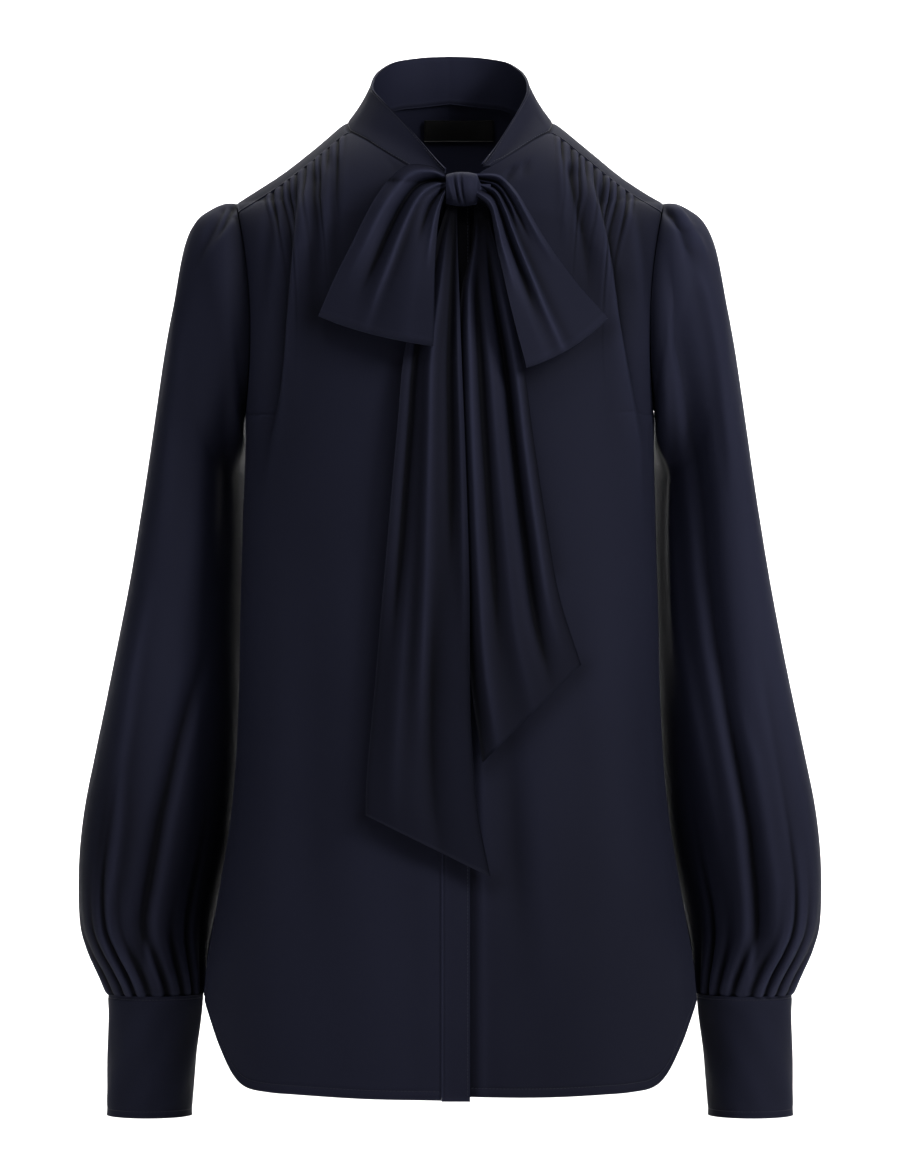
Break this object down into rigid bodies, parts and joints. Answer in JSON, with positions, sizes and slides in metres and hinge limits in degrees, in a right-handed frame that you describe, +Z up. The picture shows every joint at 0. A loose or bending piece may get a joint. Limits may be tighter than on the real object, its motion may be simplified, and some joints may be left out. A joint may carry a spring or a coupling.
{
  "type": "tie neck blouse",
  "caption": "Long-sleeved crepe blouse with a bow tied at the neck, a fly front, gathered shoulders and deep button cuffs, filled out as worn",
  "frame": {"origin": "the middle of the neck opening, level with the high points of the shoulders, where the wearer's neck and shoulders hold the blouse", "axes": "+Z up, -Y to the front, +X to the wearer's left"},
  "size_m": [0.5458, 0.2533, 0.7913],
  "materials": {
    "crepe": "fine matt crepe, dark navy, with a soft sheen",
    "label": "black woven satin, bare",
    "button": "dark navy resin"
  },
  "bodies": {
    "root": {"right_front": "crepe", "left_front": "crepe", "front_placket": "crepe", "back": "crepe", "yoke": "crepe", "collar_band": "crepe", "sleeve_right": "crepe", "sleeve_left": "crepe", "cuff_right": "crepe", "cuff_left": "crepe", "tie_knot": "crepe", "tie_loop_right": "crepe", "tie_loop_left": "crepe", "tie_tail_right": "crepe", "tie_tail_left": "crepe", "neck_label": "label", "cuff_button_right_1": "button", "cuff_button_right_2": "button", "cuff_button_left_1": "button", "cuff_button_left_2": "button"}
  },
  "joints": []
}
